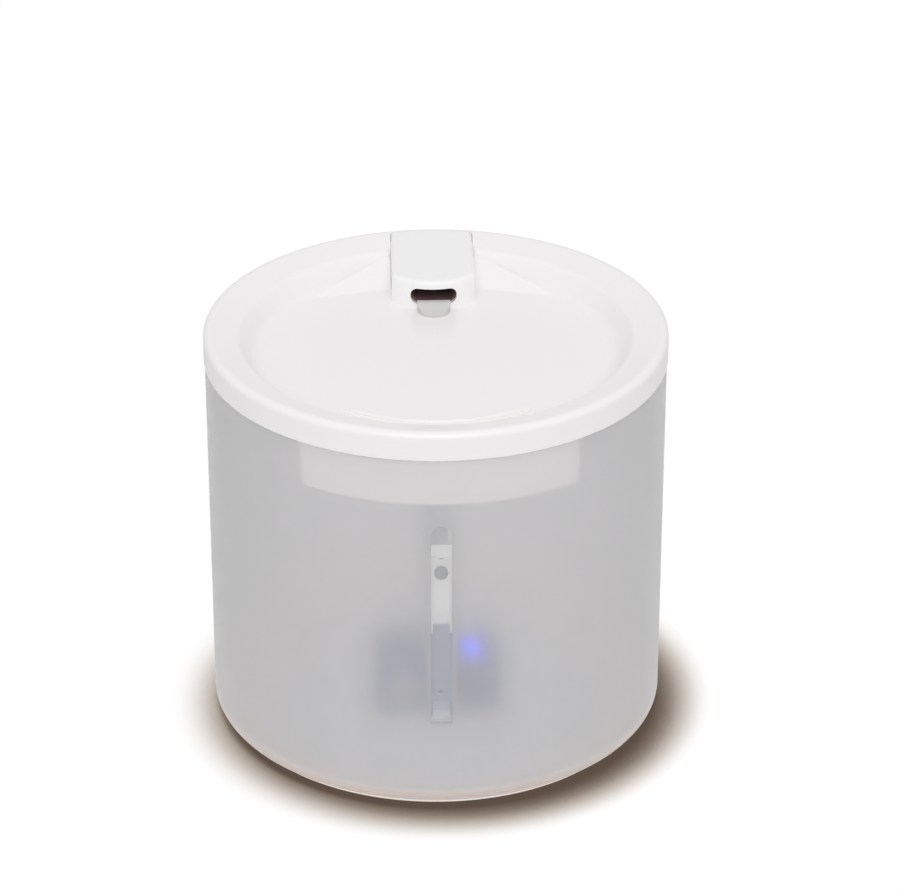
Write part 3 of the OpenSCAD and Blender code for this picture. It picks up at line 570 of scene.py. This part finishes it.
def link_object(name: str, data: bpy.types.ID) -> bpy.types.Object:
    """Adds an object to the scene.

    Args:
        name: Its name.
        data: Its mesh, light or camera.

    Returns:
        The object, at the origin.
    """
    made = bpy.data.objects.new(name, data)
    bpy.context.scene.collection.objects.link(made)
    return made


def set_finish(piece: bpy.types.Object, finish: Finish) -> None:
    """Gives a piece one finish in place of what it has."""
    piece.data.materials.clear()
    piece.data.materials.append(finish.material())


def to_object(name: str, mesh: bmesh.types.BMesh, finish: Finish) -> bpy.types.Object:
    """Turns a bmesh into a smooth-shaded object in its place.

    Args:
        name: The new object's name.
        mesh: Its shape, in the shared frame. It is freed here.
        finish: Its finish.

    Returns:
        The object, linked to the scene.
    """
    bmesh.ops.recalc_face_normals(mesh, faces=mesh.faces)
    data = bpy.data.meshes.new(name)
    mesh.to_mesh(data)
    mesh.free()
    data.shade_smooth()
    made = link_object(name, data)
    set_finish(made, finish)
    return made


@dataclass
class SubAssembly:
    """Rigid pieces of the fountain that belong together. The frame brings them."""

    finishes: dict[str, Finish]

    def build(self) -> None:
        """Gives every rigid piece its finish."""
        for name, finish in self.finishes.items():
            set_finish(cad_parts[name], finish)
            log.info("%s has the finish %s", name, finish.name)


@dataclass
class PaddedAssembly(SubAssembly):
    """A sub-assembly with soft pieces too, which ride on its body."""

    body: str

    def add(self, piece: bpy.types.Object, node: str, slot: str, fill: float) -> None:
        """Puts a new soft piece in place of a node of the frame.

        Args:
            piece: The new piece.
            node: The node that it stands for.
            slot: Not used.
            fill: Not used.
        """
        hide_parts(node)
        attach(piece, self.body)
        log.info("%s stands for %s on %s", piece.name, node, self.body)


@dataclass
class Tank(SubAssembly):
    """The frosted tank and the soft ring that it stands on."""

    finishes: dict[str, Finish] = field(
        default_factory=lambda: {"tank": FROSTED_POLYPROPYLENE, "foot_ring": TAN_TPE}
    )


@dataclass
class LevelGauge(SubAssembly):
    """The window strip in the tank's front, with the float behind it."""

    finishes: dict[str, Finish] = field(
        default_factory=lambda: {
            "level_window": CLEAR_SAN,
            "float_guide": MILKY_SAN,
            "guide_stop": STOP_PP,
            "level_float": FLOAT_GREY_PP,
        }
    )


@dataclass
class PowerInlet(SubAssembly):
    """The socket in the tank's back wall."""

    finishes: dict[str, Finish] = field(
        default_factory=lambda: {
            "inlet_socket": BLACK_ABS,
            "inlet_pin": NICKEL_BRASS,
            "inlet_seal": BLACK_RUBBER,
            "inlet_nut": BLACK_ABS,
        }
    )


@dataclass
class Pump(SubAssembly):
    """The pump's casing, its motor, its lamp and what turns in it."""

    finishes: dict[str, Finish] = field(
        default_factory=lambda: {
            "pump_base": PUMP_ABS,
            "suction_cups": SILICONE,
            "pump_housing": PUMP_ABS,
            "pump_back_plate": PUMP_ABS,
            "volute_cover": PUMP_ABS_LIGHT,
            "stator_core": CORE_STEEL,
            "motor_coil": ENAMELLED_COPPER,
            "led_board": CIRCUIT_BOARD,
            "led_lens": BLUE_LAMP,
            "shaft_bushes": BLACK_RUBBER,
            "impeller_shaft": ALUMINA,
            "impeller": IMPELLER_ACETAL,
            "rotor_magnet": FERRITE,
        }
    )


@dataclass
class Prefilter(PaddedAssembly):
    """The clip-on strainer with its dial, and the foam block in it."""

    body: str = "strainer_cap"
    finishes: dict[str, Finish] = field(
        default_factory=lambda: {
            "strainer": PUMP_ABS_LIGHT,
            "flow_dial": DIAL_ABS,
            "dial_clip": DIAL_ABS,
        }
    )
    pore_mm: float = 2.2
    pore_depth_mm: float = 0.35
    sponge_fill: float = 0.9
    most_points: int = 20000
    same_point_mm: float = 0.001
    flat_within: float = math.radians(2)

    def sponge(self) -> bpy.types.Object:
        """Models the sponge from its node's block, with a surface broken by pores.

        Returns:
            The sponge's object.
        """
        pore = self.pore_mm * MM
        mesh = bmesh.new()
        mesh.from_mesh(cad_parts["prefilter_sponge"].data)
        bmesh.ops.remove_doubles(mesh, verts=mesh.verts, dist=self.same_point_mm * MM)
        bmesh.ops.dissolve_limit(mesh, angle_limit=self.flat_within, verts=mesh.verts, edges=mesh.edges)
        bmesh.ops.triangulate(mesh, faces=mesh.faces)
        long_edges = [e for e in mesh.edges if e.calc_length() > 2 * pore]
        while long_edges and len(mesh.verts) < self.most_points:
            bmesh.ops.subdivide_edges(mesh, edges=long_edges, cuts=1)
            bmesh.ops.triangulate(mesh, faces=mesh.faces)
            long_edges = [e for e in mesh.edges if e.calc_length() > pore / 2]
        mesh.normal_update()
        for v in mesh.verts:
            # Noise runs from -1 to 1, and a pore from no depth to its full depth
            dent = (1 + noise.noise(v.co / pore)) / 2
            v.co -= v.normal * dent * self.pore_depth_mm * MM
        return to_object("foam_prefilter", mesh, FILTER_FOAM)

    def build(self) -> None:
        """Dresses the strainer and puts the sponge in it."""
        super().build()
        self.add(self.sponge(), "prefilter_sponge", "sponge_foam", self.sponge_fill)


@dataclass
class HoseAndLead(SubAssembly):
    """The hose from the pump to the spout, and the pump's lead on the tank's wall."""

    finishes: dict[str, Finish] = field(
        default_factory=lambda: {
            "riser_tube": HOSE_SILICONE,
            "pump_lead": PVC_SHEATH,
            "lead_grommet": BLACK_RUBBER,
            "lead_clips": NATURAL_PP,
        }
    )


@dataclass
class Tray(SubAssembly):
    """The white drinking tray and the seal in its socket."""

    finishes: dict[str, Finish] = field(
        default_factory=lambda: {"drinking_tray": WHITE_ABS, "riser_seal": SILICONE}
    )


@dataclass
class Spout(SubAssembly):
    """The spout's cover, the dark channel behind its slot and the soft lip under it."""

    finishes: dict[str, Finish] = field(
        default_factory=lambda: {
            "spout_cover": WHITE_ABS_SATIN,
            "spout_nozzle": BROWN_BLACK_ABS_PAINTED_LIGHT,
            "spout_lip": LIP_SILICONE,
        }
    )


@dataclass
class SectorPad:
    """A soft pad in the shape of a ring's sector, with pillowed faces and pulled-in edges.

    Its edges are rounded within edge_mm: the faces drop there by drop_share of it, and the sides pull in by
    pull_share of it.
    """

    name: str
    node: str
    slot: str
    finish: Finish
    lump_mm: float
    lump_height_mm: float
    columns: int = 72
    rows: int = 28
    layers: int = 3
    edge_mm: float = 1.2
    drop_share: float = 0.6
    pull_share: float = 0.5
    clearance_mm: float = 0.15
    end_gap: float = 0.004

    def build(self) -> bpy.types.Object:
        """Models the pad inside its node's space.

        Returns:
            The pad's object.
        """
        low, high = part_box(self.node)
        points = [v.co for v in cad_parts[self.node].data.vertices]
        radii = [math.hypot(p.x, p.y) for p in points]
        inner, outer = min(radii) + self.clearance_mm * MM, max(radii) - self.clearance_mm * MM
        half = max(math.atan2(abs(p.x), -p.y) for p in points) - self.end_gap
        mesh = bmesh.new()
        bmesh.ops.create_grid(mesh, x_segments=self.columns, y_segments=self.rows, size=0.5)
        top = bmesh.ops.extrude_face_region(mesh, geom=list(mesh.faces))
        lifted = [v for v in top["geom"] if isinstance(v, bmesh.types.BMVert)]
        bmesh.ops.translate(mesh, verts=lifted, vec=(0, 0, 1))
        upright = [e for e in mesh.edges if abs(e.verts[0].co.z - e.verts[1].co.z) > 0.5]
        bmesh.ops.subdivide_edges(mesh, edges=upright, cuts=self.layers - 1, use_grid_fill=True)
        for v in mesh.verts:
            v.co = self.bend(v.co, inner, outer, half, low.z, high.z)
        return to_object(self.name, mesh, self.finish)

    def bend(self, p: Vector, inner: float, outer: float, half: float, low: float, high: float) -> Vector:
        """Moves a point of the unit block to its place on the pad.

        Args:
            p: Point of the block: x and y from -0.5 to 0.5, z from 0 to 1.
            inner: Inner radius.
            outer: Outer radius.
            half: Half of the angle that the pad spans.
            low: Height of its underside.
            high: Height of its top.

        Returns:
            The point in the shared frame.
        """
        hair = 0.001
        on_side, on_end = abs(p.y) >= 0.5 - hair, abs(p.x) >= 0.5 - hair
        edge = self.edge_mm * MM
        width = outer - inner
        radius = inner + (p.y + 0.5) * width
        arc = half * radius
        to_side = (0.5 - abs(p.y)) * width
        to_end = (0.5 - abs(p.x)) * 2 * arc
        near = max(0.0, 1 - min(to_side, to_end) / edge)
        drop = edge * self.drop_share * near * near
        pull = edge * self.pull_share * abs(2 * p.z - 1) if near >= 1 else 0.0
        radius -= math.copysign(pull, p.y) if on_side else 0.0
        angle = -math.pi / 2 + 2 * p.x * (half - (pull / radius if on_end else 0.0))
        rise = self.lump_height_mm * MM / 2
        height = low + (high - low) * p.z
        if p.z > 1 - hair:
            bump = noise.noise(Vector((p.x * 2 * arc, radius, p.z)) / (self.lump_mm * MM))
            height -= drop + rise - rise * bump
        elif p.z < hair:
            height += drop
        return Vector((radius * math.cos(angle), radius * math.sin(angle), height))


@dataclass
class FilterBasket(PaddedAssembly):
    """The basket under the tray's front, with the cassette, its cotton pad and its carbon."""

    body: str = "filter"
    finishes: dict[str, Finish] = field(
        default_factory=lambda: {"filter_basket": LIT_WHITE_PP, "filter_cassette": LIT_WHITE_PP}
    )
    pads: tuple[SectorPad, ...] = (
        SectorPad("cotton_wadding", "filter_pad", "cotton_pad", NEEDLED_COTTON, 6.0, 0.8),
        SectorPad(
            "carbon_bed", "carbon_pack", "carbon_granules", COCONUT_CARBON, 2.4, 1.4, columns=96, rows=40
        ),
    )
    pad_fill: float = 0.8

    def build(self) -> None:
        """Dresses the basket and the cassette, and fills them."""
        super().build()
        for pad in self.pads:
            self.add(pad.build(), pad.node, pad.slot, self.pad_fill)


@dataclass
class Studio:
    """A white sweep, a soft light and the camera at the photograph's angle.

    The camera looks so that the pivot, a point on the fountain's axis, lands on the pixel pivot_px. The floor
    has one brightness for the camera, floor_seen, and one for the light that it throws back, floor_felt. Its
    painted shadow is as dark as how much stands within shade_reach of a point, seen along shade_lean, and
    shade_stops gives the colours for it, from closed in to open.
    """

    image: tuple[int, int] = (900, 896)
    focal_px: float = 3887.0
    sensor_mm: float = 36.0
    clip_start: float = 0.05
    clip_end: float = 30.0
    pivot: tuple[float, float, float] = (0.0, 0.0, 0.072)
    pivot_px: tuple[float, float] = (436.1, 533.0)
    distance: float = 1.546
    elevation: float = math.radians(29.41)
    azimuth: float = math.radians(-1.25)
    floor_size: float = 8.0
    floor_drop_mm: float = 0.2
    floor_seen: float = 1.02
    floor_felt: float = 0.7
    surround: float = 0.7
    key_place: tuple[float, float, float] = (0.0, -1.7, 1.9)
    key_aim: tuple[float, float, float] = (0.0, 0.0, 0.1)
    key_size: float = 1.5
    key_power: float = 18.0
    shade_samples: int = 16
    shade_reach: float = 0.0235
    shade_lean: tuple[float, float, float] = (-0.25, 0.24, 0.9)
    shade_stops: tuple[tuple[float, str], ...] = (
        (0.4, "5c4e44"),
        (0.55, "86786c"),
        (0.72, "c5bcb4"),
        (0.86, "ece8e4"),
        (0.97, WHITE),
    )

    def camera(self) -> None:
        """Places the camera so that the pivot lands on its pixel, with no lens shift."""
        level = Vector((math.sin(self.azimuth), -math.cos(self.azimuth), 0))
        back = level * math.cos(self.elevation) + Vector((0, 0, math.sin(self.elevation)))
        right = Vector((0, 0, 1)).cross(back).normalized()
        up = back.cross(right)
        aside = (self.image[0] / 2 - self.pivot_px[0]) / self.focal_px
        above = (self.pivot_px[1] - self.image[1] / 2) / self.focal_px
        aim = -back + right * aside + up * above
        data = bpy.data.cameras.new("camera")
        data.sensor_width = self.sensor_mm
        data.lens = self.sensor_mm * self.focal_px / self.image[0]
        data.clip_start = self.clip_start
        data.clip_end = self.clip_end
        made = link_object("camera", data)
        made.location = Vector(self.pivot) + back * self.distance
        made.rotation_euler = aim.to_track_quat("-Z", "Y").to_euler()
        bpy.context.scene.camera = made

    def shade(self, tree: bpy.types.NodeTree) -> bpy.types.NodeSocket:
        """Adds the floor's colour, with a painted shadow that darkens it softly where something stands close
        over it.

        Args:
            tree: The floor material's node tree.

        Returns:
            The colour's output.
        """
        lean = Vector(self.shade_lean).normalized()
        axis = add_node(tree, "ShaderNodeCombineXYZ", values={"X": lean.x, "Y": lean.y, "Z": lean.z})
        nearness = add_node(
            tree,
            "ShaderNodeAmbientOcclusion",
            settings={"samples": self.shade_samples},
            values={"Distance": self.shade_reach},
            links={"Normal": axis.outputs["Vector"]},
        )
        ramp = add_node(tree, "ShaderNodeValToRGB", links={"Fac": nearness.outputs["AO"]})
        first, *between, last = self.shade_stops
        stops = ramp.color_ramp.elements
        for stop, (position, colour) in zip(stops, (first, last)):
            stop.position, stop.color = position, linear(colour)
        for position, colour in between:
            stops.new(position).color = linear(colour)
        return ramp.outputs["Color"]

    def paper(self) -> bpy.types.Material:
        """Makes the floor's material, an even white but for the painted shadow.

        Returns:
            The material.
        """
        made = blank_material("white_sweep")
        tree = made.node_tree
        seen = add_node(
            tree,
            "ShaderNodeEmission",
            values={"Strength": self.floor_seen},
            links={"Color": self.shade(tree)},
        )
        felt = add_node(
            tree,
            "ShaderNodeEmission",
            values={"Color": linear(WHITE), "Strength": self.floor_felt},
        )
        path = add_node(tree, "ShaderNodeLightPath")
        both = add_node(
            tree,
            "ShaderNodeMixShader",
            links={
                "Fac": path.outputs["Is Camera Ray"],
                SHADER_FIRST: felt.outputs["Emission"],
                SHADER_SECOND: seen.outputs["Emission"],
            },
        )
        add_node(tree, "ShaderNodeOutputMaterial", links={"Surface": both.outputs["Shader"]})
        return made

    def sweep(self) -> None:
        """Adds the pale floor, a hair under what stands on it."""
        mesh = bmesh.new()
        bmesh.ops.create_grid(mesh, x_segments=1, y_segments=1, size=self.floor_size / 2)
        bmesh.ops.translate(mesh, verts=mesh.verts, vec=(0, 0, -self.floor_drop_mm * MM))
        data = bpy.data.meshes.new("floor")
        mesh.to_mesh(data)
        mesh.free()
        data.materials.append(self.paper())
        link_object("floor", data)

    def key(self) -> None:
        """Adds one square soft box that faces the fountain from the front and above."""
        data = bpy.data.lights.new("key", "AREA")
        data.size = self.key_size
        data.energy = self.key_power
        made = link_object("key", data)
        made.location = self.key_place
        aim = Vector(self.key_aim) - Vector(self.key_place)
        made.rotation_euler = aim.to_track_quat("-Z", "Y").to_euler()

    def world(self) -> None:
        """Adds an even white surround, which the camera sees as bright as the floor."""
        made = bpy.data.worlds.new("surround")
        made.use_nodes = True
        tree = made.node_tree
        path = add_node(tree, "ShaderNodeLightPath")
        strength = add_node(
            tree,
            "ShaderNodeMath",
            settings={"operation": "MULTIPLY_ADD"},
            values={MATH_FACTOR: self.floor_seen - self.surround, MATH_ADDED: self.surround},
            links={MATH_VALUE: path.outputs["Is Camera Ray"]},
        )
        background = tree.nodes["Background"]
        background.inputs["Color"].default_value = linear(WHITE)
        tree.links.new(strength.outputs[0], background.inputs["Strength"])
        bpy.context.scene.world = made

    def build(self) -> None:
        """Sets up the whole studio."""
        scene = bpy.context.scene
        scene.view_settings.view_transform = "Standard"
        scene.view_settings.look = "None"
        self.camera()
        self.sweep()
        self.world()
        self.key()
        log.info("the studio is set")


ASSEMBLIES = (Tank, LevelGauge, PowerInlet, Pump, Prefilter, HoseAndLead, Tray, Spout, FilterBasket)


def main() -> None:
    """Builds the sub-assemblies and the studio."""
    logging.basicConfig(level=logging.INFO, format="%(message)s")
    for assembly in ASSEMBLIES:
        assembly().build()
        log.info("%s is built", assembly.__name__)
    Studio().build()


if __name__ == "__main__":
    main()
